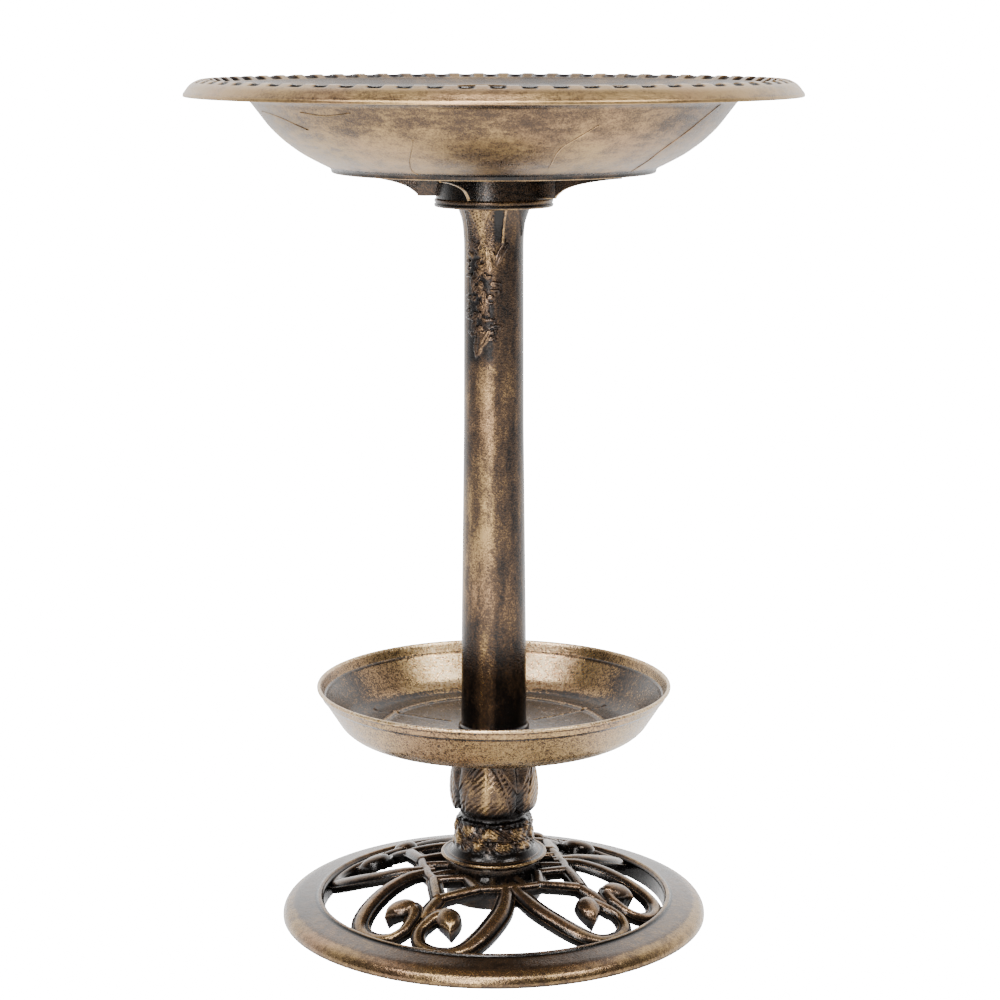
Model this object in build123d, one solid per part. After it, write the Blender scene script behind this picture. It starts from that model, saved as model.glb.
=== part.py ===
"""Two-tier pedestal bird bath: openwork base, lower stem, tray, column and bowl.

Units are millimetres. +Z is up, and the origin is on the ground at the centre of the base.
Every piece stands on the Z axis. Each plugs into the one below with a round spigot in a socket.
"""
from build123d import *
import os

# --- fits ---
SPIGOT_GAP = 0.05        # radial running clearance of every spigot in its socket
STEM_SPIGOT_R = 30.0     # stem in base hub
COLUMN_SPIGOT_R = 24.0   # column in stem, through the tray, and in the bowl socket
SOCKET_FLOOR_GAP = 1.0   # room under the end of a spigot

# --- base ---
RING_R = 183.5           # outside of the foot ring
RING_IN_R = 148.0        # inside of the foot ring
RING_FOOT = 4.5          # width of the two rims that the ring stands on
BEAD_TOP = 17.7          # top of the bead at the ring's inner edge
HUB_R = 42.0
HUB_BOTTOM = 14.0
HUB_TOP = 50.0
HUB_FLOOR = 4.0
DOME_EDGE = (RING_IN_R, 14.9)    # crown line of the scrollwork, as radius and height
DOME_MID = (100.0, 36.2)
DOME_TOP = (HUB_R, 45.7)
BAR_DEPTH = 10.0
PETAL_W = 16.5           # width of the petal bars
HOOK_W = 12.0            # width of the hooks that end in buds
STRAP_W = 11.0           # width of the knot straps near the hub
STEM_BAR_W = 15.0        # width of the short bar between the knot and the hooks
MOTIF_AZIMUTH = -122.0   # direction of the first of the four motifs
MOTIFS = 4
KNOT_IN = (44.0, 0.0)    # corners of the knot, with the motif pointing along +X
KNOT_SIDE = (60.5, 21.0)
KNOT_TIP = (87.0, 0.0)
LINK_END_R = 60.0        # where a link strap meets the next motif's
SPOKE_IN = (35.0, 20.0)
SPOKE_OUT = (51.0, 31.0)
PETAL = [(43.0, 38.5), (60.4, 50.0), (81.0, 57.5), (104.0, 59.3), (121.0, 58.5), (138.0, 58.0)]
HOOK = [(138.0, 49.0), (143.5, 28.0), (141.0, 14.0), (131.5, 7.0), (119.0, 7.0), (109.0, 13.0)]
BUD = [(107.5, 21.0, 9.6), (112.5, 28.5, 8.0), (118.5, 32.0, 4.8)]    # rounds, as x, y, radius

# --- lower stem ---
STEM_WALL = 4.0
FLANGE_R = 46.0
FLANGE_TOP = 55.0
WAIST_R = 32.0
WAIST_Z = 89.0
KNOP_R = 38.5
KNOP_Z = 110.0
STEM_TOP = 162.0         # the tray rests here
STEM_TOP_R = 34.0
STEM_SOCKET_DEPTH = 44.0

# --- tray ---
TRAY_RIM_R = 151.8
TRAY_RIM_Z = 205.8
TRAY_STEP_R = 147.0
TRAY_STEP_Z = 197.0
TRAY_FOOT_R = 106.0
TRAY_WALL = 3.0
TRAY_RIDGE_R = 95.5
TRAY_RIDGE_W = 9.0
TRAY_RIDGE_H = 2.0

# --- column ---
COLUMN_BORE_R = 21.0
COLUMN_BEAD_R = 30.5
COLUMN_BEAD_H = 5.0
COLUMN_FOOT_R = 27.9
COLUMN_TOP_R = 24.8
COLUMN_FLARE_R = 29.2
COLUMN_FLARE_Z = 584.0
COLUMN_TOP = 612.0       # the bowl socket rests here
COLUMN_CAP = 4.0
TOP_SPIGOT_LEN = 24.0

# --- bowl ---
BOWL_R = 254.0
BOWL_EDGE_Z = 703.0
CREST_R = 238.0
CREST_Z = 717.0
BOWL_WALL = 3.0
BOWL_BOTTOM_Z = 643.0
FOOT_RING_R = 134.0
FOOT_RING_W = 6.0
FOOT_RING_DROP = 2.0
BOWL_SIDE = [(134.0, 645.0), (145.0, 650.0), (167.0, 662.0), (184.0, 677.5), (196.0, 693.0), (204.0, 701.0)]

# --- bowl socket ---
SKIRT_R = 49.5
SKIRT_WALL = 3.0
SOCKET_TUBE_R = 28.5
SOCKET_PLATE = 3.5
RIBS = 5
RIB_AZIMUTH = -109.0
RIB_T = 3.0
RIB_BOTTOM_Z = 623.0
RIB_EDGE = [(62.0, RIB_BOTTOM_Z), (72.6, 631.0), (87.0, 635.0), (107.0, 638.5), (124.0, 642.0)]


def lathe(*outline):
    """Turn a closed outline of (radius, height) lines round the Z axis."""
    return revolve(Plane.XZ * make_face(Curve() + list(outline)), Axis.Z)


def cup_wall(points, thickness):
    """Shift a rising wall's points inwards by the thickness, square to the wall."""
    shifted = []
    for i, (r, z) in enumerate(points):
        before = Vector(*points[max(i - 1, 0)])
        after = Vector(*points[min(i + 1, len(points) - 1)])
        along = (after - before).normalized()
        shifted.append((r - along.Y * thickness, z + along.X * thickness))
    return shifted


def bar(points, width):
    """A flat bar of even width with round ends along a smooth line."""
    line = Spline(*points)
    steps = 4 * len(points)
    left, right = [], []
    for step in range(steps + 1):
        across = (line % (step / steps)).rotate(Axis.Z, 90) * (width / 2)
        left.append(line @ (step / steps) + across)
        right.append(line @ (step / steps) - across)
    start = ThreePointArc(right[0], line @ 0 - (line % 0) * (width / 2), left[0])
    end = ThreePointArc(left[-1], line @ 1 + (line % 1) * (width / 2), right[-1])
    return make_face(Curve() + [start, Spline(*left), end, Spline(*right[::-1])])


def straight_bar(start, end, width):
    """A flat straight bar with square ends."""
    line = Line(start, end)
    middle = line @ 0.5
    return Pos(middle.X, middle.Y) * Rot(0, 0, line.tangent_angle_at(0.5)) * Rectangle(line.length, width)


def base_ring():
    """Foot ring: a rolled channel, open underneath, with a bead at its inner edge."""
    top = [(RING_R, 0), (RING_R, 4.5), (RING_R - 1.5, 8.0), (RING_R - 5.5, 10.8), (RING_R - 11.0, 12.3)]
    lip = [(RING_IN_R + 9.0, 15.0), (RING_IN_R + 3.6, BEAD_TOP), (RING_IN_R, 14.9), (RING_IN_R, 0)]
    under = [(RING_IN_R + RING_FOOT, 0), (RING_IN_R + RING_FOOT, 10.0), (RING_R - 12.0, 8.0),
             (RING_R - RING_FOOT, 4.0), (RING_R - RING_FOOT, 0)]
    return lathe(Polyline(*(top + lip + under), close=True))


def dome_shell():
    """The domed layer that the scrollwork bars are cut from."""
    (edge_r, edge_z), (mid_r, mid_z), (top_r, top_z) = DOME_EDGE, DOME_MID, DOME_TOP
    drop = BAR_DEPTH
    return lathe(
        ThreePointArc((edge_r, edge_z), (mid_r, mid_z), (top_r, top_z)),
        Line((top_r, top_z), (top_r, top_z - drop)),
        ThreePointArc((top_r, top_z - drop), (mid_r, mid_z - drop), (edge_r, edge_z - drop)),
        Line((edge_r, edge_z - drop), (edge_r, edge_z)),
    )


def motif():
    """One quarter of the scrollwork, flat, pointing along +X: knot, petals, short bar, hooks and buds."""
    knot = Polyline(KNOT_IN, KNOT_SIDE, KNOT_TIP, (KNOT_SIDE[0], -KNOT_SIDE[1]), close=True)
    outer = make_face(offset(knot, STRAP_W / 2).edges())
    inner = make_face(offset(knot, -STRAP_W / 2).edges())
    shape = outer - inner
    shape += straight_bar((KNOT_TIP[0] - 4, 0), (HOOK[-2][0], 0), STEM_BAR_W)
    meeting = LINK_END_R * 0.5 ** 0.5
    for flip in (1, -1):
        shape += straight_bar((KNOT_SIDE[0], flip * KNOT_SIDE[1]), (meeting, flip * meeting), STRAP_W)
        shape += straight_bar((SPOKE_IN[0], flip * SPOKE_IN[1]), (SPOKE_OUT[0], flip * SPOKE_OUT[1]), STRAP_W)
        shape += bar([(x, flip * y) for x, y in PETAL], PETAL_W)
        shape += bar([(x, flip * y) for x, y in HOOK], HOOK_W)
        for x, y, radius in BUD:
            shape += Pos(x, flip * y) * Circle(radius)
    wedge = make_face(Polyline((0, 0), (200, 200), (300, 0), (200, -200), close=True))
    return shape & wedge


def base_scroll(turn, flat_motif, shell):
    """One quarter of the scrollwork, cut from the dome and turned to its place."""
    prism = extrude(flat_motif, amount=60)
    return Rot(0, 0, MOTIF_AZIMUTH + 360 / MOTIFS * turn) * (prism & shell).solid()


def base_hub():
    """Round socket in the middle of the base, closed below."""
    bore = STEM_SPIGOT_R + SPIGOT_GAP
    return lathe(Polyline((0, HUB_BOTTOM), (HUB_R, HUB_BOTTOM), (HUB_R, HUB_TOP), (bore, HUB_TOP),
                          (bore, HUB_BOTTOM + HUB_FLOOR), (0, HUB_BOTTOM + HUB_FLOOR), close=True))


def lower_stem():
    """Flanged foot, waist and knop, with a spigot below and a socket above."""
    spigot_end = HUB_BOTTOM + HUB_FLOOR + SOCKET_FLOOR_GAP
    bore = COLUMN_SPIGOT_R + SPIGOT_GAP
    socket_floor = STEM_TOP - STEM_SOCKET_DEPTH
    hollow_r = STEM_SPIGOT_R - STEM_WALL
    body = [(FLANGE_R, FLANGE_TOP - 3), (FLANGE_R, FLANGE_TOP), (FLANGE_R - 3, FLANGE_TOP + 0.8),
            (39.0, 59.0), (36.0, 65.0), (35.5, 76.0), (WAIST_R, WAIST_Z), (36.2, 99.0), (KNOP_R, KNOP_Z),
            (37.8, 124.0), (35.0, 140.0), (STEM_TOP_R, STEM_TOP)]
    inside = [(bore, STEM_TOP), (bore, socket_floor), (0, socket_floor), (0, socket_floor - STEM_WALL),
              (hollow_r, socket_floor - STEM_WALL), (hollow_r, spigot_end)]
    foot = [(STEM_SPIGOT_R, spigot_end), (STEM_SPIGOT_R, HUB_TOP), (HUB_R + 1, HUB_TOP)]
    return lathe(Polyline(*(foot + body + inside), close=True))


def tray():
    """Shallow dish with a stepped, sloping wall and a central hole for the column's spigot."""
    bore = COLUMN_SPIGOT_R + SPIGOT_GAP
    floor = STEM_TOP + TRAY_WALL
    ridge_in, ridge_out = TRAY_RIDGE_R - TRAY_RIDGE_W / 2, TRAY_RIDGE_R + TRAY_RIDGE_W / 2
    outside = [(TRAY_FOOT_R, STEM_TOP), (121.0, 164.3), (129.0, 169.5), (TRAY_STEP_R - 1.5, TRAY_STEP_Z - 1.5)]
    rim = [(TRAY_STEP_R + 0.6, TRAY_STEP_Z), (TRAY_RIM_R - 0.8, TRAY_RIM_Z - 3.5), (TRAY_RIM_R, TRAY_RIM_Z - 2.5),
           (TRAY_RIM_R, TRAY_RIM_Z - 0.8), (TRAY_RIM_R - 1.2, TRAY_RIM_Z), (TRAY_RIM_R - 3.6, TRAY_RIM_Z),
           (TRAY_STEP_R - 2.4, TRAY_STEP_Z)]
    inside = cup_wall(outside, TRAY_WALL)[:0:-1]
    ridge = [(ridge_out, floor), (ridge_out - 2, floor + TRAY_RIDGE_H), (ridge_in + 2, floor + TRAY_RIDGE_H),
             (ridge_in, floor)]
    middle = [(bore, floor), (bore, STEM_TOP)]
    return lathe(Polyline(*(outside + rim + inside + ridge + middle), close=True))


def column():
    """Tapered tube, open below and capped above, with a foot bead, a flared top and a spigot at each end."""
    seat = STEM_TOP + TRAY_WALL
    spigot_end = STEM_TOP - STEM_SOCKET_DEPTH + SOCKET_FLOOR_GAP
    top = COLUMN_TOP + TOP_SPIGOT_LEN
    foot = [(COLUMN_BORE_R, spigot_end), (COLUMN_SPIGOT_R, spigot_end), (COLUMN_SPIGOT_R, seat),
            (COLUMN_BEAD_R, seat), (COLUMN_BEAD_R, seat + COLUMN_BEAD_H - 1),
            (COLUMN_FOOT_R, seat + COLUMN_BEAD_H + 1)]
    flare = [(COLUMN_TOP_R, COLUMN_FLARE_Z), (COLUMN_TOP_R + 1.2, COLUMN_FLARE_Z + 15),
             (COLUMN_FLARE_R, COLUMN_TOP - 2), (COLUMN_FLARE_R, COLUMN_TOP), (COLUMN_SPIGOT_R, COLUMN_TOP)]
    cap = [(COLUMN_SPIGOT_R, top), (0, top), (0, top - COLUMN_CAP), (COLUMN_BORE_R, top - COLUMN_CAP)]
    return lathe(Polyline(*(foot + flare + cap), close=True))


def bowl_seam():
    """Where the wall ends and the rim begins: the outer and the inner point of the joint line."""
    return BOWL_SIDE[-1], cup_wall(BOWL_SIDE, BOWL_WALL)[-1]


def bowl():
    """Floor on a foot ring, and the curved wall."""
    floor_in = BOWL_BOTTOM_Z + BOWL_WALL
    inner_side = cup_wall(BOWL_SIDE, BOWL_WALL)
    ring_in = FOOT_RING_R - FOOT_RING_W
    ring_z = BOWL_BOTTOM_Z - FOOT_RING_DROP
    under = Polyline((0, BOWL_BOTTOM_Z), (ring_in, BOWL_BOTTOM_Z), (ring_in + 1, ring_z), (FOOT_RING_R, ring_z),
                     BOWL_SIDE[0])
    floor = Polyline(inner_side[0], (FOOT_RING_R - 9, floor_in), (0, floor_in), (0, BOWL_BOTTOM_Z))
    return lathe(under, Spline(*BOWL_SIDE), Line(*bowl_seam()), Spline(*inner_side[::-1]), floor)


def bowl_rim():
    """Rolled rim round the wall: up to the crest, then down to the outer edge, open underneath."""
    outer, inner = bowl_seam()
    middle_r = 222.0
    under = [outer, (middle_r, 707.5), (CREST_R - 1, CREST_Z - BOWL_WALL), (246.5, 711.0),
             (BOWL_R - BOWL_WALL, BOWL_EDGE_Z + 1), (BOWL_R - BOWL_WALL, BOWL_EDGE_Z)]
    over = [(BOWL_R, BOWL_EDGE_Z), (BOWL_R, BOWL_EDGE_Z + 1.6), (248.0, 713.0), (CREST_R + 3, CREST_Z - 0.6),
            (CREST_R, CREST_Z), (CREST_R - 4, CREST_Z - 0.8), (middle_r, 710.7), inner]
    return lathe(Polyline(*(under + over), close=True))


def bowl_socket():
    """Hub under the bowl: skirt, socket tube and plate."""
    bore = COLUMN_SPIGOT_R + SPIGOT_GAP
    bottom = COLUMN_TOP
    plate = BOWL_BOTTOM_Z - SOCKET_PLATE
    skirt_in = SKIRT_R - SKIRT_WALL
    return lathe(Polyline((bore, bottom), (SOCKET_TUBE_R, bottom), (SOCKET_TUBE_R, plate), (skirt_in - 1.5, plate),
                          (skirt_in, bottom + 1), (SKIRT_R, bottom + 1), (SKIRT_R, bottom + 7),
                          (SKIRT_R - 1.5, BOWL_BOTTOM_Z), (0, BOWL_BOTTOM_Z), (0, plate), (bore, plate), close=True))


def bowl_rib(turn, hub):
    """One gusset between the hub and the underside of the bowl."""
    frame = Polyline(RIB_EDGE[-1], (RIB_EDGE[-1][0], BOWL_BOTTOM_Z), (SKIRT_R - 3, BOWL_BOTTOM_Z),
                     (SKIRT_R - 3, RIB_BOTTOM_Z), RIB_EDGE[0])
    plate = extrude(Plane.XZ * make_face(Curve() + [Spline(*RIB_EDGE), frame]), amount=RIB_T / 2, both=True)
    return (Rot(0, 0, RIB_AZIMUTH + 360 / RIBS * turn) * plate - hub).solid()


def main():
    os.makedirs("parts", exist_ok=True)
    flat_motif = motif()
    shell = dome_shell()
    hub = bowl_socket()
    nodes = {"base_ring": base_ring(), "base_hub": base_hub(), "lower_stem": lower_stem(), "tray": tray(),
             "column": column(), "bowl": bowl(), "bowl_rim": bowl_rim(), "bowl_socket": hub}
    for turn in range(MOTIFS):
        nodes[f"base_scroll_{turn + 1}"] = base_scroll(turn, flat_motif, shell)
    for turn in range(RIBS):
        nodes[f"bowl_rib_{turn + 1}"] = bowl_rib(turn, hub)
    for name, solid in nodes.items():
        export_step(solid, f"parts/{name}.step")


main()
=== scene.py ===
"""Two-tier pedestal bird bath in antique bronze plastic: the visual model.

Everything lies in the frame of the CAD model, with +Z up. Outlines are written in millimetres, as radius
and height, and become metres when a mesh is made. Azimuths are in degrees, anticlockwise from +X.
"""
import math

import bmesh
import bpy
import numpy as np
from mathutils import Matrix, Vector


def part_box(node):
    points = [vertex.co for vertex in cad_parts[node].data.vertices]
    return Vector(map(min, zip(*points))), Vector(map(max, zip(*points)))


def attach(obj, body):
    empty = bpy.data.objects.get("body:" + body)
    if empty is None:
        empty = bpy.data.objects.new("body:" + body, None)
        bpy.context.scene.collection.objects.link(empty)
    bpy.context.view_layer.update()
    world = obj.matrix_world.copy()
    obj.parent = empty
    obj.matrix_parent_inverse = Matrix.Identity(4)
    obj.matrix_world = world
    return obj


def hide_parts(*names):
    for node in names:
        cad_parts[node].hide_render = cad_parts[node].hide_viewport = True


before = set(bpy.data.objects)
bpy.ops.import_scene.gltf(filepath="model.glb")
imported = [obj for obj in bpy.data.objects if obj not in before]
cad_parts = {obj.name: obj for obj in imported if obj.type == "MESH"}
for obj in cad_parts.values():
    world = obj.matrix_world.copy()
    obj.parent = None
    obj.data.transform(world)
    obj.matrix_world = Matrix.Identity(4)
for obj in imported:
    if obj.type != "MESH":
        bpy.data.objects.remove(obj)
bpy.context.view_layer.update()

MM = 0.001


def top_of(node):
    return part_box(node)[1][2] / MM


def bottom_of(node):
    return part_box(node)[0][2] / MM


def radius_of(node):
    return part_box(node)[1][0] / MM


# ---------------------------------------------------------------- outlines and meshes

def outline(points, step=1.0):
    """Rows (radius, height) along straight legs. A third number at a point rounds its corner back so far."""
    path = [np.array(points[0][:2], float)]
    for before, corner, after in zip(points, points[1:], points[2:]):
        here = np.array(corner[:2], float)
        into, out = np.array(before[:2]) - here, np.array(after[:2]) - here
        if len(corner) < 3:
            path.append(here)
            continue
        long_in, long_out = np.linalg.norm(into), np.linalg.norm(out)
        reach = min(corner[2], 0.49 * long_in, 0.49 * long_out)
        start, end = here + into / long_in * reach, here + out / long_out * reach
        for t in np.linspace(0, 1, 8):
            path.append((1 - t) ** 2 * start + 2 * t * (1 - t) * here + t ** 2 * end)
    path.append(np.array(points[-1][:2], float))
    rows = [path[0]]
    for a, b in zip(path, path[1:]):
        legs = max(1, int(np.ceil(np.linalg.norm(b - a) / step)))
        rows.extend(a + (b - a) * k / legs for k in range(1, legs + 1))
    return np.array(rows)


def mesh_object(name, points, faces, tone):
    """A smooth-shaded object from points in mm, with a tone at each, from -1, dark, to 1, light. The tone
    holds dark recesses and rubbed edges, and in places painted shade and painted highlights.
    """
    mesh = bpy.data.meshes.new(name)
    mesh.from_pydata((np.asarray(points) * MM).tolist(), [], faces)
    layer = mesh.attributes.new("tone", "FLOAT", "POINT")
    layer.data.foreach_set("value", np.asarray(tone, np.float32).ravel())
    work = bmesh.new()
    work.from_mesh(mesh)
    bmesh.ops.remove_doubles(work, verts=work.verts, dist=2e-6)
    bmesh.ops.dissolve_degenerate(work, edges=work.edges, dist=1e-7)
    bmesh.ops.recalc_face_normals(work, faces=work.faces)
    work.to_mesh(mesh)
    work.free()
    mesh.polygons.foreach_set("use_smooth", [True] * len(mesh.polygons))
    mesh.set_sharp_from_angle(angle=math.radians(38))
    piece = bpy.data.objects.new(name, mesh)
    bpy.context.scene.collection.objects.link(piece)
    return piece


def grid_faces(count, rows, wrap=True):
    """Quads of a grid of count strips by rows points, closed round the strips if wrap."""
    faces = []
    for i in range(count if wrap else count - 1):
        j = (i + 1) % count
        for k in range(rows - 1):
            faces.append((i * rows + k, j * rows + k, j * rows + k + 1, i * rows + k + 1))
    return faces


def lathe(name, rows, turns, relief=None, tone=None):
    """Turn rows round the Z axis.

    relief(az, r, z, up) gives how far each point moves outwards, and tone(az, r, z, up, move) its tone. up is
    the height of the outward direction: 1 faces the sky, -1 the ground.
    """
    along = np.gradient(rows, axis=0)
    along /= np.maximum(np.linalg.norm(along, axis=1, keepdims=True), 1e-9)
    side, up = along[:, 1][None], -along[:, 0][None]
    az = (np.arange(turns) * 360 / turns)[:, None]
    r, z = rows[:, 0][None], rows[:, 1][None]
    move = relief(az, r, z, up) if relief else np.zeros((turns, len(rows)))
    radius = np.maximum(r + move * side, 0) * (r > 0)
    height = z + move * up
    angle = np.radians(az)
    points = np.stack([radius * np.cos(angle), radius * np.sin(angle), height], axis=-1)
    shade = tone(az, r, z, up, move) if tone else np.clip(move, -1, 1)
    shade = np.broadcast_to(shade, radius.shape)
    return mesh_object(name, points.reshape(-1, 3), grid_faces(turns, len(rows)), shade)


def smooth_line(points, count):
    """A Catmull-Rom line of count points through the given ones, in any number of dimensions."""
    p = np.array(points, float)
    p = np.vstack([2 * p[0] - p[1], p, 2 * p[-1] - p[-2]])
    line = []
    for t in np.linspace(0, len(points) - 1 - 1e-6, count):
        k, f = int(t), t - int(t)
        a, b, c, d = p[k], p[k + 1], p[k + 2], p[k + 3]
        line.append(0.5 * (2 * b + (c - a) * f + (2 * a - 5 * b + 4 * c - d) * f ** 2
                           + (3 * b - 3 * c + d - a) * f ** 3))
    return np.array(line)


def sweep(name, centre, up, widths, section, heights=1.0):
    """Carry a section of (across, rise, tone) points along a line. across is in half widths, rise in mm."""
    along = np.gradient(centre, axis=0)
    along /= np.linalg.norm(along, axis=1, keepdims=True)
    across = np.cross(along, up)
    across /= np.linalg.norm(across, axis=1, keepdims=True)
    widths = np.broadcast_to(widths, len(centre))
    heights = np.broadcast_to(heights, len(centre))
    points, tone = [], []
    for c, a, u, w, h in zip(centre, across, up, widths, heights):
        for side, rise, shade in section:
            points.append(c + a * side * w / 2 + u * rise * h)
            tone.append(shade)
    ring = len(section)
    faces = grid_faces(len(centre), ring, wrap=False)
    faces += [(i * ring + ring - 1, (i + 1) * ring + ring - 1, (i + 1) * ring, i * ring)
              for i in range(len(centre) - 1)]
    faces += [tuple(range(ring)), tuple(range((len(centre) - 1) * ring, len(centre) * ring))]
    return mesh_object(name, points, faces, tone)


def joined(name, objects):
    """One object holding all the given ones."""
    bpy.context.view_layer.update()
    with bpy.context.temp_override(active_object=objects[0], selected_editable_objects=objects):
        bpy.ops.object.join()
    objects[0].name = name
    objects[0].data.name = name
    return objects[0]


def window(x, low, high, soft):
    """1 between low and high, falling smoothly to 0 over soft outside them."""
    rise = np.clip((x - low) / soft + 1, 0, 1)
    fall = np.clip((high - x) / soft + 1, 0, 1)
    ramp = np.minimum(rise, fall)
    return ramp * ramp * (3 - 2 * ramp)


def turned(az, middle, pitch=360.0):
    """Azimuth measured from the middle of its own repeat, from -pitch/2 to pitch/2."""
    return (az - middle + pitch / 2) % pitch - pitch / 2


def ripple(az, z, seed):
    """Cheap uneven relief between -1 and 1 that closes round the axis."""
    total = 0.0
    for k in range(1, 6):
        first = np.sin(np.radians(az) * (3 * k + seed % 3) + z * (0.13 * k + 0.02 * seed) + 1.7 * k * seed)
        total = total + first * np.cos(z * 0.21 * k - np.radians(az) * (2 * k + 1) + seed)
    return total / 3.0


# ---------------------------------------------------------------- materials

class Nodes:
    """Short calls for building one material's node tree."""

    def __init__(self, name):
        self.material = bpy.data.materials.new(name)
        self.material.use_nodes = True
        self.tree = self.material.node_tree
        self.shader = self.tree.nodes["Principled BSDF"]

    def add(self, kind, **settings):
        node = self.tree.nodes.new(kind)
        for key, value in settings.items():
            setattr(node, key, value)
        return node

    def link(self, source, target):
        self.tree.links.new(source, target)

    def noise(self, coords, scale, detail=3.0, roughness=0.55):
        node = self.add("ShaderNodeTexNoise")
        self.link(coords, node.inputs["Vector"])
        node.inputs["Scale"].default_value = scale
        node.inputs["Detail"].default_value = detail
        node.inputs["Roughness"].default_value = roughness
        return node.outputs["Fac"]

    def stretch(self, coords, scale, offset=(0, 0, 0)):
        node = self.add("ShaderNodeMapping")
        node.inputs["Scale"].default_value = scale
        node.inputs["Location"].default_value = offset
        self.link(coords, node.inputs["Vector"])
        return node.outputs["Vector"]

    def range(self, value, low, high, to_low=0.0, to_high=1.0):
        node = self.add("ShaderNodeMapRange", interpolation_type="SMOOTHSTEP")
        self.link(value, node.inputs["Value"])
        for key, number in (("From Min", low), ("From Max", high), ("To Min", to_low), ("To Max", to_high)):
            node.inputs[key].default_value = number
        return node.outputs["Result"]

    def math(self, operation, a, b):
        node = self.add("ShaderNodeMath", operation=operation)
        for socket, value in zip(node.inputs, (a, b)):
            if isinstance(value, (int, float)):
                socket.default_value = value
            else:
                self.link(value, socket)
        return node.outputs["Value"]

    def mix(self, factor, a, b):
        node = self.add("ShaderNodeMix", data_type="RGBA")
        self.link(factor, node.inputs["Factor"])
        for socket, value in ((node.inputs[6], a), (node.inputs[7], b)):
            if isinstance(value, tuple):
                socket.default_value = (*value, 1)
            else:
                self.link(value, socket)
        return node.outputs[2]


DARK = (0.005, 0.004, 0.0035)
BROWN = (0.052, 0.031, 0.018)
GOLD = (0.27, 0.174, 0.076)
COPPER = (0.23, 0.125, 0.085)
PALE = (0.55, 0.42, 0.26)


def bronze(name, gold=0.5, speckle=0.5, streak=(1, 1, 1), streaks=0.3, patches=0.3, copper=0.3, rough=0.20,
           offset=0.0):
    """Dark plastic under dry-brushed gold-bronze paint: speckle, brush streaks, patches, dark recesses, and,
    through the tone attribute, painted shade and painted highlights.
    """
    n = Nodes(name)
    coords = n.add("ShaderNodeTexCoord").outputs["Object"]
    moved = n.stretch(coords, (1, 1, 1), (offset, offset * 0.7, offset * 1.3))
    tone = n.add("ShaderNodeAttribute", attribute_name="tone").outputs["Fac"]
    fine = n.range(n.noise(moved, 700, 2.0, 0.6), 0.38, 0.62, -1, 1)
    grain = n.range(n.noise(moved, 300, 3.0, 0.65), 0.35, 0.65, -1, 1)
    brushed = n.range(n.noise(n.stretch(moved, streak), 110, 5.0, 0.6), 0.33, 0.67, -1, 1)
    cloud = n.range(n.noise(moved, 9, 4.0, 0.6), 0.32, 0.68, -1, 1)
    cover_and_painted_light = n.math("ADD", n.math("MULTIPLY", fine, speckle * 0.24), n.math("MULTIPLY", grain, speckle * 0.14))
    cover_and_painted_light = n.math("ADD", cover_and_painted_light, n.math("MULTIPLY", brushed, streaks * 0.4))
    cover_and_painted_light = n.math("ADD", cover_and_painted_light, n.math("MULTIPLY", cloud, patches * 0.4))
    # The tone brings in dark recesses and rubbed edges, and also painted shade and painted highlights. Its
    # highest values turn the colour towards PALE.
    cover_and_painted_light = n.math("ADD", cover_and_painted_light, n.math("MULTIPLY", tone, 0.62))
    cover_and_painted_light = n.math("ADD", cover_and_painted_light, gold)
    warmth = n.range(n.noise(n.stretch(moved, (1, 1, 1), (3, 1, 2)), 10, 2.0), 0.42, 0.62, 0, copper)
    metal = n.mix(warmth, GOLD, COPPER)
    lower = n.mix(n.range(cover_and_painted_light, -0.15, 0.40), DARK, BROWN)
    upper = n.mix(n.range(cover_and_painted_light, 0.25, 0.90), lower, metal)
    colour = n.mix(n.range(cover_and_painted_light, 0.95, 1.6, 0, 0.8), upper, PALE)
    n.link(colour, n.shader.inputs["Base Color"])
    n.link(n.range(cover_and_painted_light, 0.0, 0.7, 0.7, 0.96), n.shader.inputs["Metallic"])
    rough = n.math("ADD", n.range(cover_and_painted_light, 0.0, 1.0, rough, rough + 0.09), n.math("MULTIPLY", grain, 0.03))
    n.link(rough, n.shader.inputs["Roughness"])
    bump = n.add("ShaderNodeBump")
    bump.inputs["Strength"].default_value = 0.16
    bump.inputs["Distance"].default_value = 0.0004
    height = n.math("ADD", n.math("MULTIPLY", fine, 0.5), n.math("MULTIPLY", brushed, 0.4))
    n.link(height, bump.inputs["Height"])
    n.link(bump.outputs["Normal"], n.shader.inputs["Normal"])
    n.shader.inputs["Specular IOR Level"].default_value = 0.45
    n.shader.inputs["Coat Weight"].default_value = 0.04
    n.shader.inputs["Coat Roughness"].default_value = 0.2
    return n.material


def finish_piece(piece, body, slot, material, *nodes):
    """Give a piece its material and body, in place of the given CAD nodes. The slot is not used."""
    piece.data.materials.clear()
    piece.data.materials.append(material)
    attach(piece, body)
    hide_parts(*nodes)


# ---------------------------------------------------------------- base

RING_RADIUS = radius_of("base_ring")
RING_TOP = top_of("base_ring")
RING_INSIDE = 148.0
RING_FOOT = 4.5          # width of the two rims that the ring stands on
HUB_RADIUS = radius_of("base_hub")
HUB_TOP = top_of("base_hub")
DOME_TOP = top_of("base_scroll_1")
MOTIF_AZIMUTH = -122.0
MOTIFS = 4
STEM_SOCKET = 30.05      # bore of the socket that the stem's spigot stands in

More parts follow.
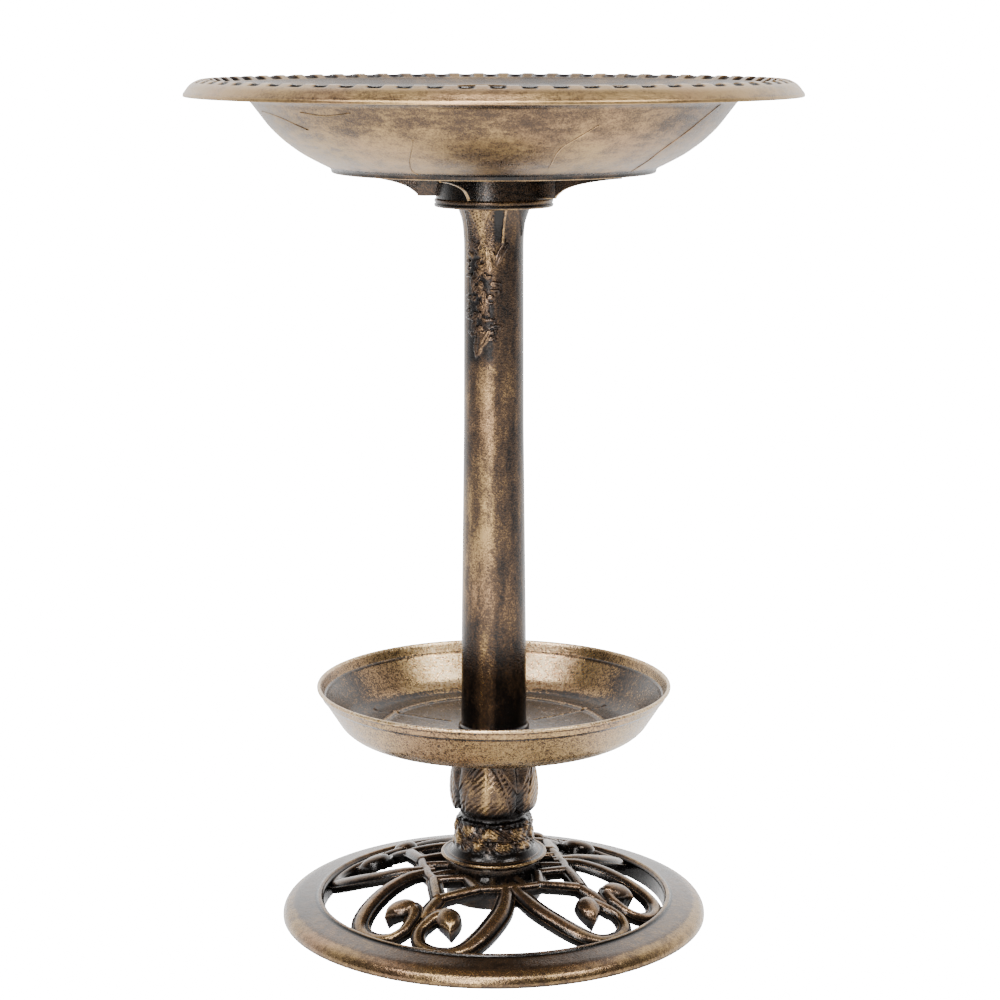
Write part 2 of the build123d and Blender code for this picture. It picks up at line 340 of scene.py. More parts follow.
# Half section of a moulded bar, as (across, rise, tone): deep side, fine edge line, flat flange, round crown
HALF_BAR = [(-1.0, -9.0, -1.0), (-1.0, -3.6, -0.8), (-0.97, -3.1, 0.5), (-0.91, -3.2, 0.0),
            (-0.84, -3.7, -0.9), (-0.70, -3.6, -0.9), (-0.62, -2.5, -0.4), (-0.50, -1.2, 0.1),
            (-0.28, -0.25, 0.3)]
BAR_CROWN = (0.0, 0.0, 0.35)
HALF_BUD = [(-1.0, -9.0, -1.0), (-1.0, -3.2, -0.8), (-0.93, -1.2, -0.3), (-0.76, 0.9, 0.0), (-0.5, 2.4, 0.2),
            (-0.2, 3.1, 0.4)]


def mirrored_section(half, *middle):
    """A whole section from its left half and any points on its middle line."""
    return [*half, *middle, *((-across, rise, tone) for across, rise, tone in reversed(half))]


BAR_SECTION = mirrored_section(HALF_BAR, BAR_CROWN)
BUD_SECTION = mirrored_section(HALF_BUD)

# Centre lines in plan, with each motif pointing along +X: (along, across, width, lift)
PETAL = [(40.0, 35.5, 13, -2.0), (51.0, 44.5, 15, -1.0), (60.4, 50.0, 16.5, 0), (81.0, 57.5, 18.5, 0),
         (104.0, 59.3, 19, 0), (121.0, 57.0, 18.5, 0), (133.0, 51.0, 16, -0.3), (140.0, 41.0, 14, -0.5),
         (143.0, 27.5, 12.5, -0.3), (140.5, 14.5, 12, 0), (131.5, 7.2, 12, 0.2), (120.0, 7.0, 12, 0.4)]
CURL = [(124.0, 7.2, 12, 0.0), (115.0, 8.6, 14.5, 0.4), (108.5, 12.5, 17, 0.8), (106.5, 18.0, 18, 0.6),
        (108.0, 23.0, 15, -0.6)]
BUD = [(103.5, 13.0, 7.0, -2.5), (104.6, 16.0, 14.5, -0.5), (107.0, 20.5, 20.5, 0.6),
       (110.5, 25.0, 21.0, 0.9), (114.6, 28.8, 17.5, 0.3), (118.0, 31.0, 11.0, -1.4),
       (120.4, 32.2, 5.0, -3.4), (121.8, 32.8, 1.5, -5.0)]
KNOT = [(45.0, 0.5, 12.5, -0.6), (52.5, 10.5, 13, -0.2), (60.0, 20.6, 14, 0.3), (62.5, 21.2, 14, 0.4),
        (74.0, 12.5, 14, 0.5), (87.0, 1.5, 14.5, 0.6)]
LINK = [(62.0, 20.0, 12, -0.4), (56.0, 28.5, 12, -0.5), (50.0, 36.0, 12, -0.7), (42.0, 42.5, 12, -0.9)]
SPOKE = [(34.0, 19.5, 10, -2.2), (43.0, 25.5, 10, -1.8), (52.0, 31.5, 10, -1.6)]
SHORT_BAR = [(83, 0, 15, -0.2), (93, 0, 16.5, -0.4), (104, 0, 17, -1.2), (114, 0, 12, -3.0)]


def dome(r):
    """Height of the bars' crowns over the ground at a radius."""
    drop = DOME_TOP - (RING_TOP - 2.8)
    return DOME_TOP - drop * ((np.maximum(r, 42.0) - 42.0) / (RING_INSIDE - 42.0)) ** 1.9


def on_dome(plan, lift=0.0):
    """Points over a plan line on the dome, and the dome's outward direction at each."""
    plan = np.asarray(plan, float)
    r = np.linalg.norm(plan, axis=1)
    slope = dome(r + 0.5) - dome(r - 0.5)
    up = np.stack([-slope * plan[:, 0] / r, -slope * plan[:, 1] / r, np.ones(len(r))], axis=-1)
    up /= np.linalg.norm(up, axis=1, keepdims=True)
    points = np.column_stack([plan, dome(r)]) + up * np.broadcast_to(lift, len(r))[:, None]
    return points, up


def dome_bar(name, stations, count, section=BAR_SECTION):
    """A moulded bar along stations of (along, across, width, lift) on the dome."""
    line = smooth_line(stations, count)
    points, up = on_dome(line[:, :2], line[:, 3])
    return sweep(name, points, up, line[:, 2], section)


def scroll_parts(name):
    """The bars of one motif, mirrored about its axis, and the short bar on the axis."""
    lines = {"petal": (PETAL, 150), "curl": (CURL, 60), "knot": (KNOT, 60), "link": (LINK, 20),
             "spoke": (SPOKE, 10)}
    parts = [dome_bar(f"{name}_short_bar", SHORT_BAR, 20)]
    for side in (1, -1):
        for label, (stations, count) in lines.items():
            mirrored = [(along, side * across, width, lift) for along, across, width, lift in stations]
            parts.append(dome_bar(f"{name}_{label}", mirrored, count))
        bud = [(along, side * across, width, lift) for along, across, width, lift in BUD]
        parts.append(dome_bar(f"{name}_bud", bud, 50, BUD_SECTION))
    return parts


def make_scrolls(material):
    for k in range(MOTIFS):
        piece = joined(f"scroll_{k + 1}", scroll_parts("scroll"))
        piece.data.transform(Matrix.Rotation(math.radians(MOTIF_AZIMUTH + 360 / MOTIFS * k), 4, "Z"))
        finish_piece(piece, "base", "base_bronze", material, f"base_scroll_{k + 1}")


def make_ring(material):
    outer, inner, top = RING_RADIUS, RING_INSIDE, RING_TOP
    rows = outline([
        (outer - 12.0, 8.0), (outer - RING_FOOT, 4.0, 2), (outer - RING_FOOT, 0, 0.6), (outer, 0, 0.8),
        (outer, top - 13.5, 4), (outer - 3.0, top - 8.2, 3), (outer - 10.5, top - 5.0, 7),
        (inner + 8.0, top - 2.4, 2), (inner + 6.0, top - 1.9, 0.8), (inner + 5.0, top, 1.6),
        (inner + 2.4, top, 1.4), (inner + 1.6, top - 1.6, 1), (inner, top - 3.2, 1.2), (inner, 0, 0.6),
        (inner + RING_FOOT, 0, 0.6), (inner + RING_FOOT, 10.0), (outer - 12.0, 8.0)], 0.9)

    def tone(az, r, z, up, move):
        edge = 0.5 * window(r, outer - 8, outer - 1.0, 4) * (z > 2) + 0.35 * window(z, top - 0.6, top, 0.5)
        groove = -1.1 * window(r, inner + 5.6, inner + 7.2, 0.8) * (z > 10) - 0.9 * (r < inner + 0.8)
        return np.clip(edge + groove, -1, 1)
    finish_piece(lathe("foot_ring", rows, 360, None, tone), "base", "base_bronze", material, "base_ring")


def make_hub(material):
    bore = STEM_SOCKET
    rows = outline([(0, 14), (HUB_RADIUS - 1, 14, 2), (HUB_RADIUS, 30, 2), (HUB_RADIUS - 1.5, HUB_TOP, 1.2),
                    (bore, HUB_TOP, 0.5), (bore, 18, 0.5), (0, 18)], 1.5)

    def relief(az, r, z, up):
        slot = window(np.abs(turned(az, -101, 45)), 0, 5, 2) * window(z, HUB_TOP - 9, HUB_TOP - 5, 1)
        slot = slot * (r > 38)
        return -1.6 * slot

    def tone(az, r, z, up, move):
        return np.clip(-0.45 + 0.3 * window(z, HUB_TOP - 3, HUB_TOP, 2) + move * 0.5, -1, 1)
    finish_piece(lathe("hub_socket", rows, 240, relief, tone), "base", "base_bronze", material, "base_hub")


# ---------------------------------------------------------------- lower stem

KNOP_LOBES = 4
KNOP_AZIMUTH = -101.0
COLUMN_SOCKET = 24.05    # bore of every socket and hole that the column's spigots pass through


def make_stem(material):
    top, seat = top_of("lower_stem"), HUB_TOP
    rim = radius_of("lower_stem")
    rows = outline([
        (26, 19), (29.95, 19, 0.5), (29.95, seat), (40.5, seat, 1), (rim - 1.5, seat + 1.8, 1),
        (rim, seat + 3.4, 1),
        (rim - 0.6, seat + 5.0, 0.8), (rim - 2.2, seat + 5.2, 0.6), (rim - 3.0, seat + 4.6, 0.6),
        (40.5, seat + 5.0, 1), (39.6, seat + 5.8, 0.6), (38.4, seat + 5.6, 0.6), (36.0, seat + 9.0, 3),
        (34.2, seat + 15.0, 2), (34.0, 78, 6), (31.0, 88.5, 3), (31.4, 91.5, 2), (35.8, 95.5, 5),
        (38.6, 107, 10), (38.4, 120, 9), (35.2, 136, 6), (32.8, top - 6, 4), (32.8, top, 0.5),
        (COLUMN_SOCKET, top), (COLUMN_SOCKET, 118), (0, 118)], 0.7)

    def lobe_of(az):
        return turned(az, KNOP_AZIMUTH, 360 / KNOP_LOBES)

    def gap_of(az):
        return turned(az, KNOP_AZIMUTH + 180 / KNOP_LOBES, 360 / KNOP_LOBES)

    def tip_field(az, z):
        """1 on the pointed leaf tips that hang between the lobes, fading over their edges."""
        reach = np.clip(z - 114, 0, 26)
        return window(np.abs(gap_of(az)), -1, reach, 2.5) * window(z, 115, 160, 2)

    def relief(az, r, z, up):
        lobe = lobe_of(az)
        edge = np.abs(lobe) / (180 / KNOP_LOBES)
        out = -3.6 * (1 - np.sqrt(np.clip(1 - edge ** 3.4, 0, 1))) * window(z, 94, 156, 3)
        out = out - 2.2 * window(z, 88.5, 92.5 + 6.0 * edge ** 4, 1.6)
        out = out + 0.7 * np.exp(-(lobe / 2.6) ** 2) * window(z, 99, 150, 5)
        arch = np.abs(np.abs(lobe) - 35 * np.sqrt(np.clip((141 - z) / 44, 0, 1)))
        out = out - 0.6 * np.exp(-(arch / 1.6) ** 2) * window(z, 97, 141, 2)
        tips = tip_field(az, z)
        vein = np.exp(-(gap_of(az) / 1.3) ** 2)
        out = out + tips * (1.2 - 0.8 * vein)
        bark = window(z, seat + 14, 87, 3)
        scales = np.abs(np.sin(np.radians(az * 5 + z * 7))) * np.abs(np.cos(np.radians(az * 4 - z * 9)))
        threads = 0.35 * np.sin(np.radians(az) * 34 + z * 1.3 + 2.5 * np.sin(z * 0.5 + np.radians(az) * 6))
        out = out + bark * (1.7 * scales + 0.9 * ripple(az, z * 1.4, 3) + threads - 0.4)
        strokes = np.sin(np.radians(az) * 40 - z * 1.15 + 1.5 * ripple(az, z, 2))
        out = out + 0.14 * strokes * window(z, 96, 150, 4) * (1 - tips)
        return out * ((r > 30.5) & (z > seat + 6.5))

    def tone(az, r, z, up, move):
        lobe = lobe_of(az)
        tips = tip_field(az, z)
        shade = np.clip(move * 0.28, -1, 0.7) * (1 - 0.8 * tips) - 0.05 * tips
        shade = shade + 0.55 * np.exp(-(lobe / 5) ** 2) * window(z, 98, 146, 4)
        # The lobes are painted lighter across their widest part, a painted highlight, so that their lower
        # part reads as shaded.
        shade = shade + 0.40 * window(z, 106, 124, 12) * window(np.abs(lobe), 0, 34, 4)
        shade = shade + 0.45 * window(z, seat + 14, 86, 3) * (move > 0.5)
        shade = shade + 0.5 * window(z, seat + 3.0, seat + 5.3, 0.5) * (r > rim - 2.6)
        shade = shade - 0.5 * window(r, 0, rim - 3.5, 2) * window(z, seat + 4, seat + 14, 2)
        shade = shade + 0.6 * window(np.abs(r - 39.6), 0, 0.8, 0.6) * window(z, seat + 5.2, seat + 6.2, 0.3)
        # Painted shade under the knop's lobes, down into the waist.
        shade = shade - 1.0 * window(z, 87, 95, 5.0)
        return np.clip(shade, -1, 1)
    knop = lathe("stem_knop", rows, 480, relief, tone)
    finish_piece(knop, "lower_stem", "stem_bronze", material, "lower_stem")


# ---------------------------------------------------------------- tray

def make_tray(material):
    rim, top, foot = radius_of("tray"), top_of("tray"), bottom_of("tray")
    floor = foot + 3.0
    rows = outline([
        (COLUMN_SOCKET, foot, 0.3), (104, foot, 4), (121.5, foot + 2.6, 9), (130.5, foot + 9.0, 7),
        (rim - 5.6, top - 10.2, 1), (rim - 4.2, top - 9.0, 0.8), (rim - 1.5, top - 3.6, 0.8),
        (rim - 0.3, top - 3.0, 0.6), (rim, top - 1.4, 0.8), (rim - 1.2, top, 0.8),
        (rim - 2.8, top - 0.3, 0.8), (rim - 4.0, top - 2.5, 0.6), (rim - 6.6, top - 8.8, 0.5),
        (rim - 7.9, top - 9.4, 0.5),
        (rim - 9.2, top - 11.6, 1), (126.5, floor + 6.5, 7), (117.0, floor + 0.6, 5), (110, floor - 0.4, 2),
        (102, floor, 1), (98.6, floor + 2.0, 1.2), (95.0, floor + 2.2, 1.2), (92.5, floor + 0.6, 1.5),
        (60, floor, 3), (34, floor + 0.2, 1), (COLUMN_SOCKET, floor + 0.2, 0.3), (COLUMN_SOCKET, foot)], 0.9)

    def relief(az, r, z, up):
        spoke = np.abs(turned(az, 33.5, 60)) * r * math.pi / 180
        on_floor = (z > floor - 1) * (z < floor + 4) * (up > 0)
        return 0.9 * np.exp(-(spoke / 0.8) ** 2) * window(r, 42, 118, 3) * on_floor

    def tone(az, r, z, up, move):
        lip = 1.1 * window(z, top - 1.6, top, 1.0)
        wall = (up > 0.2) * (r > 117) * (z < top - 9)
        step_up = (up > 0.2) * (r > 125) * (z > top - 9) * (z < top - 2)
        # Painted highlight on the inner wall and upper step behind the column, and painted dark reflections
        # at the wall's two ends. lip gathers these besides the rubbed lip.
        painted_dark_ends = window(turned(az, 172), -16, 14, 16) + window(turned(az, 16), -10, 16, 16)
        lip = lip + wall * (window(turned(az, 90), -18, 22, 24) - 0.9 * painted_dark_ends)
        lip = lip + 0.7 * window(turned(az, 90), -20, 24, 24) * step_up
        step = -0.9 * window(np.abs(z - (top - 9.8)), 0, 0.7, 0.7) * (r > 130)
        under = -0.6 * window(np.abs(z - (top - 3.7)), 0, 0.3, 0.5) * (r > rim - 3)
        corner = -0.55 * window(r, 100, 122, 4) * (up > 0) * (z < floor + 8)
        ridge = 0.6 * window(np.abs(r - 96.5), 0, 1.6, 1.2) * (up > 0)
        inside = -0.8 * (up > 0.3) * (z < floor + 4) * (r < 122)
        return np.clip(lip + step + under + corner + ridge + inside + 0.5 * move, -1, 1)
    finish_piece(lathe("tray_dish", rows, 420, relief, tone), "tray", "tray_bronze", material, "tray")


# ---------------------------------------------------------------- column

# Relief on the column: each leaf as azimuth and height of its root, length, half width, lean from straight up
COLUMN_LEAVES = [(-123, 489, 24, 4.5, 6), (-116, 497, 18, 3.5, 28), (-86, 566, 22, 3.0, 22),
                 (-96, 558, 24, 3.4, -8), (-80, 572, 16, 2.2, 34)]
TANGLE = 74              # small leaves and curls packed between the curled leaf and the fan
TANGLE_LOW, TANGLE_HIGH = 504, 580
FAN_AZIMUTH, FAN_HEIGHT = -118, 584
TWIG_AZIMUTH = -70


def leaf_relief(across, along, length, half):
    """Height, from 0 to 1, of a veined leaf growing from 0 to length."""
    t = np.clip(along / length, 0, 1)
    edge = half * np.sin(np.pi * t ** 0.8) ** 0.8
    inside = (along > 0) & (along < length) & (np.abs(across) < edge)
    body = 0.45 + 0.55 * np.sqrt(np.clip(1 - (across / np.maximum(edge, 0.1)) ** 2, 0, 1))
    return np.where(inside, body - np.exp(-(across / 0.6) ** 2) * 0.4, 0)


def column_leaves():
    """The placed leaves, then the tangle's, spread by the golden angle."""
    yield from COLUMN_LEAVES
    for k in range(TANGLE):
        spread = math.sin(2.39996 * k)
        height = TANGLE_LOW + (TANGLE_HIGH - TANGLE_LOW) * k / TANGLE
        length, half = 9 + 3 * math.cos(1.7 * k), 1.9 + 0.5 * math.sin(3.1 * k)
        yield -118 + 21 * spread, height, length, half, 95 * math.sin(1.3 * k)


def make_column(material):
    seat, top = bottom_of("tray") + 3.0, top_of("column")
    shoulder = bottom_of("bowl_socket")
    bead, foot = radius_of("column"), bottom_of("column")
    rows = outline([
        (21, foot), (24, foot, 0.5), (24, seat), (bead, seat, 0.6), (bead, seat + 3.4, 1.6),
        (bead - 2.2, seat + 4.8, 1), (28.0, seat + 6.5, 2), (27.6, 250), (25.3, 430), (24.8, 585, 12),
        (26.0, 600, 6), (29.2, shoulder - 0.6, 0.5), (29.2, shoulder, 0.3), (24, shoulder), (24, top, 1),
        (0, top), (0, top - 4), (21, top - 4, 1), (21, foot)], 0.95)

    def relief(az, r, z, up):
        out = 0.0 * (az + z)
        for middle, root, length, half, lean in column_leaves():
            c, s = math.cos(math.radians(lean)), math.sin(math.radians(lean))
            a, b = turned(az, middle) * 25 * math.pi / 180, z - root
            out = np.maximum(out, 1.25 * leaf_relief(a * c - b * s, a * s + b * c, length, half))
        twig = turned(az, TWIG_AZIMUTH - 0.12 * (612 - z)) * 25 * math.pi / 180
        out = np.maximum(out, 1.6 * np.sqrt(np.clip(1 - (twig / 1.5) ** 2, 0, 1)) * window(z, 584, 614, 2))
        away = turned(az, FAN_AZIMUTH) * 25 * math.pi / 180
        ring, spoke = np.hypot(away, z - FAN_HEIGHT), np.arctan2(away, z - FAN_HEIGHT)
        scales = 0.5 + 0.35 * np.cos(ring * 2.3) * np.cos(spoke * 26)
        fan = window(np.abs(away), -1, 12, 2) * window(z, FAN_HEIGHT - 10, 614, 3)
        out = np.maximum(out, 1.1 * scales * fan)
        curl = np.abs(np.hypot(turned(az, -129) * 25 * math.pi / 180, (z - 501) * 0.62) - 6.5)
        out = np.maximum(out, 1.3 * np.exp(-(curl / 0.7) ** 2) * window(turned(az, -120), -6, 12, 3))
        reach = np.clip((z - 590) * 0.9, 0, 20)
        tips = window(np.abs(turned(az, -25, 90)), -1, reach, 3) * window(z, 590, 614, 2)
        return (out + 0.9 * tips) * ((r > 24.4) & (up < 0.6) & (z > 480))

    def tone(az, r, z, up, move):
        around = turned(az, -118)
        field = window(np.abs(around), 0, 22, 9) * window(z, 492, 578, 14)
        shade = np.where(move > 0.35, np.clip(move * 0.45 - 0.70, -1, 1), -0.95 * field)
        shade = shade - 1.2 * window(turned(az, -84), -9, 6, 4) * window(z, 590, 616, 8) * (move < 0.3)
        shade = shade + 0.8 * (move > 1.25) * (z > 584) * (np.abs(turned(az, TWIG_AZIMUTH)) < 12)
        # A painted highlight runs down the column's front-left, and painted shade darkens its right side.
        shade = shade + 0.34 * window(turned(az, -101), -9, 7, 12)
        shade = shade - 0.30 * window(turned(az, -52), -28, 60, 22)
        shade = shade - 0.42 * window(z, 0, 225, 70) + 0.12 * ripple(az, z * 0.6 + az * 0.25, 4)
        return np.clip(shade, -1, 1)
    shaft = lathe("column_shaft", rows, 360, relief, tone)
    finish_piece(shaft, "column", "column_bronze", material, "column")


# ---------------------------------------------------------------- bowl

BOWL_LOBES = 10
LOBE_AZIMUTH = 93.6
RIM_NOTCHES = 66
NOTCH_AZIMUTH = 90.7

# Outside of the bowl's wall, as radius and height over its foot
BOWL_WALL = [(134.6, 3.4), (146, 9), (158, 15.4), (172, 25.5), (184, 36.8), (194, 50.0), (200.5, 58.4)]

# Fine moulded lines on the outside of the bowl, as (azimuth, height over the ground)
SEAMS = [[(-161.4, 692.4), (-155.0, 690.5), (-148.6, 686.7), (-141.1, 679.6)],
         [(-109.8, 674.3), (-111.5, 666.3), (-114.6, 655.5), (-116.2, 648.6), (-115.4, 645.5)],
         [(-65.2, 685.7), (-68.5, 678.2), (-73.0, 666.6), (-73.7, 651.8)],
         [(-26.7, 700.0), (-32.2, 685.2), (-38.2, 665.2), (-38.4, 651.3), (-37.7, 646.0)],
         [(-139.8, 693.8), (-131.6, 691.4), (-123.7, 694.3)]]
SEAM_SECTION = [(-1.0, -0.8, -0.8), (-0.9, 0.0, -0.5), (0.0, 0.42, 0.8), (0.9, 0.0, -0.5), (1.0, -0.8, -0.8)]


def bowl_seam(name, stations, foot):
    """A fine ridge that follows the outside of the bowl's wall."""
    line = smooth_line(stations, 40)
    radius = np.interp(line[:, 1], [foot + z for r, z in BOWL_WALL], [r for r, z in BOWL_WALL]) + 0.1
    angle = np.radians(line[:, 0])
    points = np.column_stack([radius * np.cos(angle), radius * np.sin(angle), line[:, 1]])
    outwards = np.column_stack([np.cos(angle) * 0.75, np.sin(angle) * 0.75, np.full(len(angle), -0.66)])
    fade = np.sin(np.linspace(0.25, math.pi - 0.25, len(line)))
    return sweep(name, points, outwards, 1.1 * fade + 0.35, SEAM_SECTION)


def make_bowl(material):
    edge, top, foot = radius_of("bowl_rim"), top_of("bowl_rim"), bottom_of("bowl")
    crest = edge - 16.0
    *lower_wall, (brow_radius, brow_height) = BOWL_WALL
    wall = [(r, foot + z, 7) for r, z in lower_wall]
    rows = outline([
        (0, foot + 2), (127, foot + 2, 1), (128.5, foot, 0.6), (134, foot, 0.8), *wall,
        (brow_radius, foot + brow_height, 2.5), (221, foot + 66.5, 6), (crest - 0.5, top - 3.2, 5),
        (edge - 7.5, top - 6.5, 4), (edge - 3.0, top - 13.0, 1), (edge - 2.4, top - 14, 0.5),
        (edge, top - 14, 0.7), (edge, top - 11.6, 1.6), (edge - 6.0, top - 3.6, 4), (crest + 2.0, top, 3),
        (crest - 3.0, top, 3), (crest - 10, top - 4.6, 5), (215, top - 10.4, 6), (203, top - 12.4, 4),
        (196, foot + 56.5, 5), (190.5, foot + 48.0, 6), (181, foot + 38.0, 7), (169.5, foot + 27.4, 8),
        (156, foot + 17.6, 8), (144, foot + 11, 9), (131, foot + 5, 7), (0, foot + 5)], 1.15)

    def relief(az, r, z, up):
        inside = up > 0.12
        notch = turned(az, NOTCH_AZIMUTH, 360 / RIM_NOTCHES) * r * math.pi / 180
        across = np.clip(1 - (notch / 6.3) ** 2, 0, 1)
        reach = np.clip(1 - ((r - (crest - 3.0)) / 5.5) ** 2, 0, 1)
        outer = np.clip(1 - ((r - (crest + 4.9)) / 2.1) ** 2, 0, 1)
        depth = 4.2 * np.sqrt(across * reach) + 1.8 * np.sqrt(across * outer)
        out = -depth * (z > top - 9) * inside
        lobe = turned(az, LOBE_AZIMUTH, 360 / BOWL_LOBES) / (180 / BOWL_LOBES)
        arch = 213 - 26 * np.abs(lobe) ** 2.2
        line = np.exp(-((r - arch) / 1.5) ** 2)
        out = out + 1.1 * line * inside * (r < 220)
        out = out - 0.8 * window(r, 60, arch - 3, 6) * inside * (r < 218)
        join = (1 - np.abs(lobe)) * 18 * r * math.pi / 180
        out = out + 0.9 * np.exp(-(join / 1.4) ** 2) * window(r, 70, 186, 10) * inside
        return out

    def tone(az, r, z, up, move):
        inside = up > 0.12
        # The rim's notches turn near black: dark paint in them, and painted shade.
        notch = (move < -0.3) * (z > top - 9)
        shade = 0.42 * window(z, top - 8, top, 4) * (r > crest - 4) - 2.4 * notch
        shade = shade + 0.7 * (move > 0.4) * inside - 0.40 * inside * (z < top - 4) * (r < crest - 8)
        shade = shade - 0.9 * window(z, foot - 1, foot + 4.4, 1.6) * (r > 120) * (up < 0.3)
        shade = shade + 1.2 * window(z, foot - 1, foot + 0.5, 0.3) * (r > 132)
        shade = shade - 0.16 * window(z, foot + 46, foot + 70, 14) * (up < 0)
        # The lower outer wall is painted lighter, as if lit by the floor below.
        shade = shade + 0.12 * window(z, foot + 8, foot + 26, 12) * (up < 0)
        lip = 0.5 * window(z, top - 14, top - 11.5, 1.0) * (r > edge - 3)
        return np.clip(shade + lip + 0.10 * ripple(az, z, 5) * (up < 0), -1, 1)
    parts = [lathe("bowl_basin", rows, 924, relief, tone)]
    parts += [bowl_seam(f"seam_{k}", stations, foot) for k, stations in enumerate(SEAMS)]
    finish_piece(joined("bowl_basin", parts), "bowl", "bowl_bronze", material, "bowl", "bowl_rim")


RIBS = 5
RIB_AZIMUTH = -109.0
RIB_WIDTH = 3.0
SKIRT_RADIUS = 49.5

# Lower edge of a rib, as radius and height over the socket's mouth
RIB_EDGE = [(45.5, 9.0), (61.5, 9.0), (63.5, 10.5), (67, 13.5), (73, 17.2), (84, 20.8), (100, 24.0),
            (118, 26.6), (127, 27.5)]
RIB_SECTION = [(-1.0, 1.0, -1.0), (-1.0, 0.04, -1.0), (-0.6, 0.0, 0.9), (0.6, 0.0, 0.9),
               (1.0, 0.04, -1.0), (1.0, 1.0, -1.0)]


def make_bowl_hub(material):
    bottom, top = bottom_of("bowl_socket"), top_of("bowl_socket")
    skirt = SKIRT_RADIUS
    rows = outline([
        (COLUMN_SOCKET, bottom), (28.4, bottom, 0.4), (28.4, top - 3.5), (skirt - 4.5, top - 3.5),
        (skirt - 3, bottom + 0.5, 0.4), (skirt - 0.8, bottom + 0.5, 0.6), (skirt, bottom + 1.6, 0.6),
        (skirt, bottom + 3.0, 0.4), (skirt - 0.9, bottom + 3.5, 0.3), (skirt - 0.9, bottom + 4.1, 0.3),
        (skirt - 0.2, bottom + 4.6, 0.4), (skirt - 0.2, bottom + 6.6, 0.5), (skirt - 1.4, bottom + 7.4, 0.6),
        (skirt - 3.2, top, 2), (0, top), (0, top - 3.5),
        (COLUMN_SOCKET, top - 3.5), (COLUMN_SOCKET, bottom)], 0.9)

    def tone(az, r, z, up, move):
        lines = 0.8 * window(z, bottom, bottom + 1.4, 0.4) + 0.5 * window(z, bottom + 4.4, bottom + 6.8, 0.4)
        # Near black all over: the dark plastic, darkened further by painted shade under the bowl. The moulded
        # lines are lighter.
        return np.clip(lines - 0.95, -1, 1)
    parts = [lathe("bowl_hub", rows, 256, None, tone)]
    radius, height = smooth_line(RIB_EDGE, 60).T
    height = height + bottom
    upwards = np.tile((0.0, 0.0, 1.0), (len(radius), 1))
    for k in range(RIBS):
        angle = math.radians(RIB_AZIMUTH + 360 / RIBS * k)
        edge = np.column_stack([radius * math.cos(angle), radius * math.sin(angle), height])
        parts.append(sweep(f"rib_{k}", edge, upwards, RIB_WIDTH, RIB_SECTION, np.maximum(top - height, 0.3)))
    finish_piece(joined("bowl_hub", parts), "bowl", "bowl_bronze", material, "bowl_socket",
                 *(f"bowl_rib_{k + 1}" for k in range(RIBS)))


# ---------------------------------------------------------------- stage

BACKDROP = 18.0     # brightness of the white surroundings as the camera sees them
FLOOR_GLOW = 0.65   # light that the white floor gives the object from below
FLOOR_HALF_SIZE = 6.0


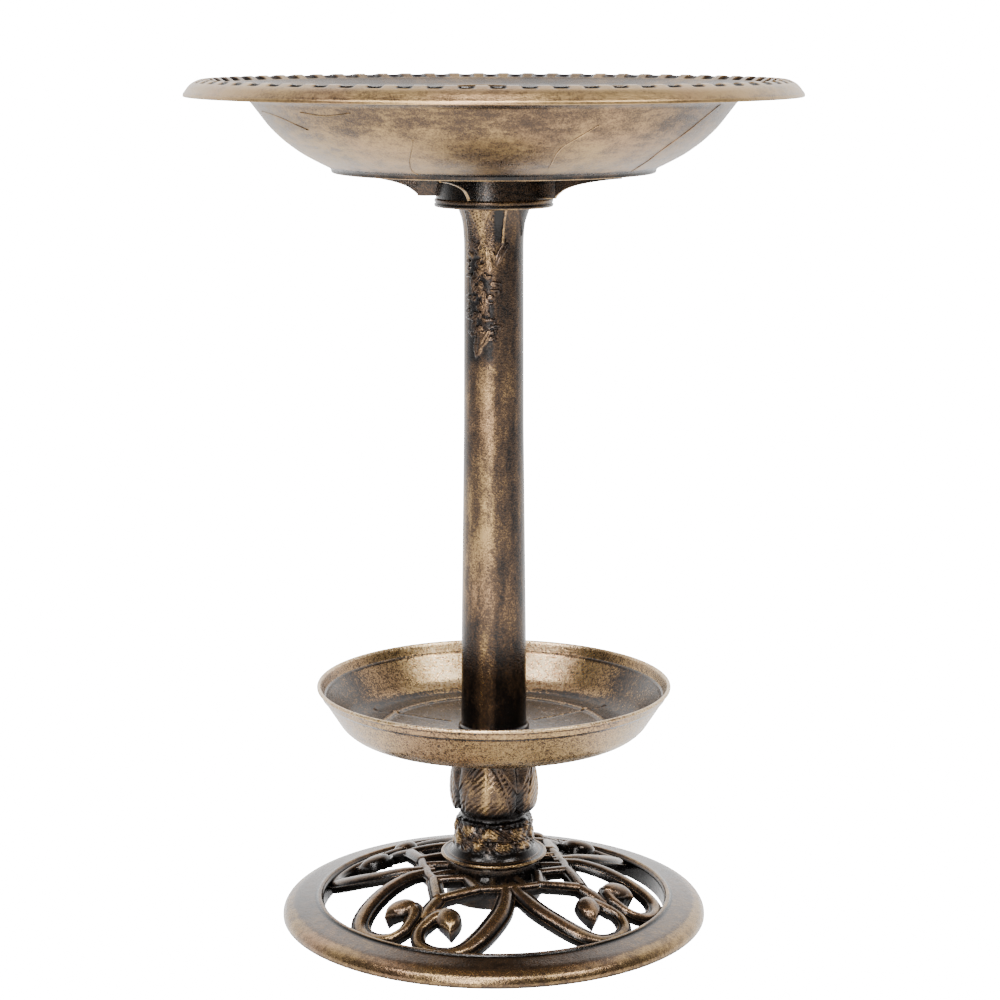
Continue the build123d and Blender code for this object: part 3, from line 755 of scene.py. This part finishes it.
def make_stage():
    """The white floor and surroundings, and the lamps."""
    floor_mesh = bpy.data.meshes.new("floor")
    size = FLOOR_HALF_SIZE
    corners = [(-size, -size, 0), (size, -size, 0), (size, size, 0), (-size, size, 0)]
    floor_mesh.from_pydata(corners, [], [(0, 1, 2, 3)])
    floor = bpy.data.objects.new("floor", floor_mesh)
    bpy.context.scene.collection.objects.link(floor)
    n = Nodes("floor_white")
    n.shader.inputs["Base Color"].default_value = (0.9, 0.9, 0.9, 1)
    n.shader.inputs["Roughness"].default_value = 0.7
    n.shader.inputs["Emission Color"].default_value = (1, 1, 1, 1)
    seen = n.add("ShaderNodeLightPath").outputs["Is Camera Ray"]
    glow = n.math("ADD", n.math("MULTIPLY", seen, BACKDROP), FLOOR_GLOW)
    n.link(glow, n.shader.inputs["Emission Strength"])
    floor_mesh.materials.append(n.material)

    world = bpy.data.worlds.new("studio")
    bpy.context.scene.world = world
    world.use_nodes = True
    sky = world.node_tree
    coords = sky.nodes.new("ShaderNodeTexCoord")
    split = sky.nodes.new("ShaderNodeSeparateXYZ")
    sky.links.new(coords.outputs["Generated"], split.inputs["Vector"])
    ramp = sky.nodes.new("ShaderNodeMapRange")
    ramp.interpolation_type = "SMOOTHSTEP"
    for key, number in (("From Min", -0.15), ("From Max", 0.60), ("To Min", 0.04), ("To Max", 3.0)):
        ramp.inputs[key].default_value = number
    sky.links.new(split.outputs["Y"], ramp.inputs["Value"])
    seen = sky.nodes.new("ShaderNodeLightPath")
    level = sky.nodes.new("ShaderNodeMix")
    sky.links.new(seen.outputs["Is Camera Ray"], level.inputs["Factor"])
    sky.links.new(ramp.outputs["Result"], level.inputs["A"])
    level.inputs["B"].default_value = BACKDROP
    sky.nodes["Background"].inputs["Color"].default_value = (1, 1, 1, 1)
    sky.links.new(level.outputs["Result"], sky.nodes["Background"].inputs["Strength"])

    def area(name, place, target, size, power):
        light = bpy.data.lights.new(name, "AREA")
        light.shape = "RECTANGLE"
        light.size, light.size_y = size
        light.energy = power
        lamp = bpy.data.objects.new(name, light)
        lamp.location = place
        lamp.rotation_euler = (Vector(target) - Vector(place)).to_track_quat("-Z", "Y").to_euler()
        bpy.context.scene.collection.objects.link(lamp)
    area("key", (-0.62, -2.3, 1.2), (0, 0, 0.36), (0.35, 1.5), 90)
    area("top_front", (-0.1, -1.5, 2.1), (0, 0, 0.2), (0.6, 0.4), 75)
    area("top_right", (1.35, -1.1, 1.9), (0, 0, 0.2), (0.8, 0.4), 40)
    area("top_left", (-1.25, -1.2, 1.9), (0, 0, 0.2), (0.6, 0.4), 40)


def make_camera():
    """The viewing camera: level with the bowl, looking a little down."""
    data = bpy.data.cameras.new("camera")
    data.sensor_width = 36.0
    data.lens = 89.5
    data.shift_x = 0.0062
    camera = bpy.data.objects.new("camera", data)
    camera.location = (0, -2.069, 0.7597)
    camera.rotation_euler = (math.radians(90 - 10.81), 0, 0)
    bpy.context.scene.collection.objects.link(camera)
    bpy.context.scene.camera = camera


make_camera()
make_stage()
base_bronze = bronze("base_bronze", gold=0.22, speckle=0.35, streaks=0.25, patches=0.3, copper=0.6,
                     offset=1.0)
make_ring(base_bronze)
make_hub(base_bronze)
make_scrolls(base_bronze)
make_stem(bronze("stem_bronze", gold=0.24, speckle=0.4, streaks=0.3, patches=0.3, copper=0.2, offset=2.0))
make_tray(bronze("tray_bronze", gold=0.66, speckle=1.1, streaks=0.2, patches=0.3, copper=0.35, offset=3.0))
make_column(bronze("column_bronze", gold=0.37, speckle=0.5, streak=(1, 1, 0.25), streaks=0.4, patches=0.5,
                   copper=0.4, offset=4.0))
bowl_bronze = bronze("bowl_bronze", gold=0.54, speckle=0.34, streak=(0.5, 0.5, 1.6), streaks=0.32,
                     patches=0.28, copper=0.3, rough=0.27, offset=5.0)
make_bowl(bowl_bronze)
make_bowl_hub(bowl_bronze)
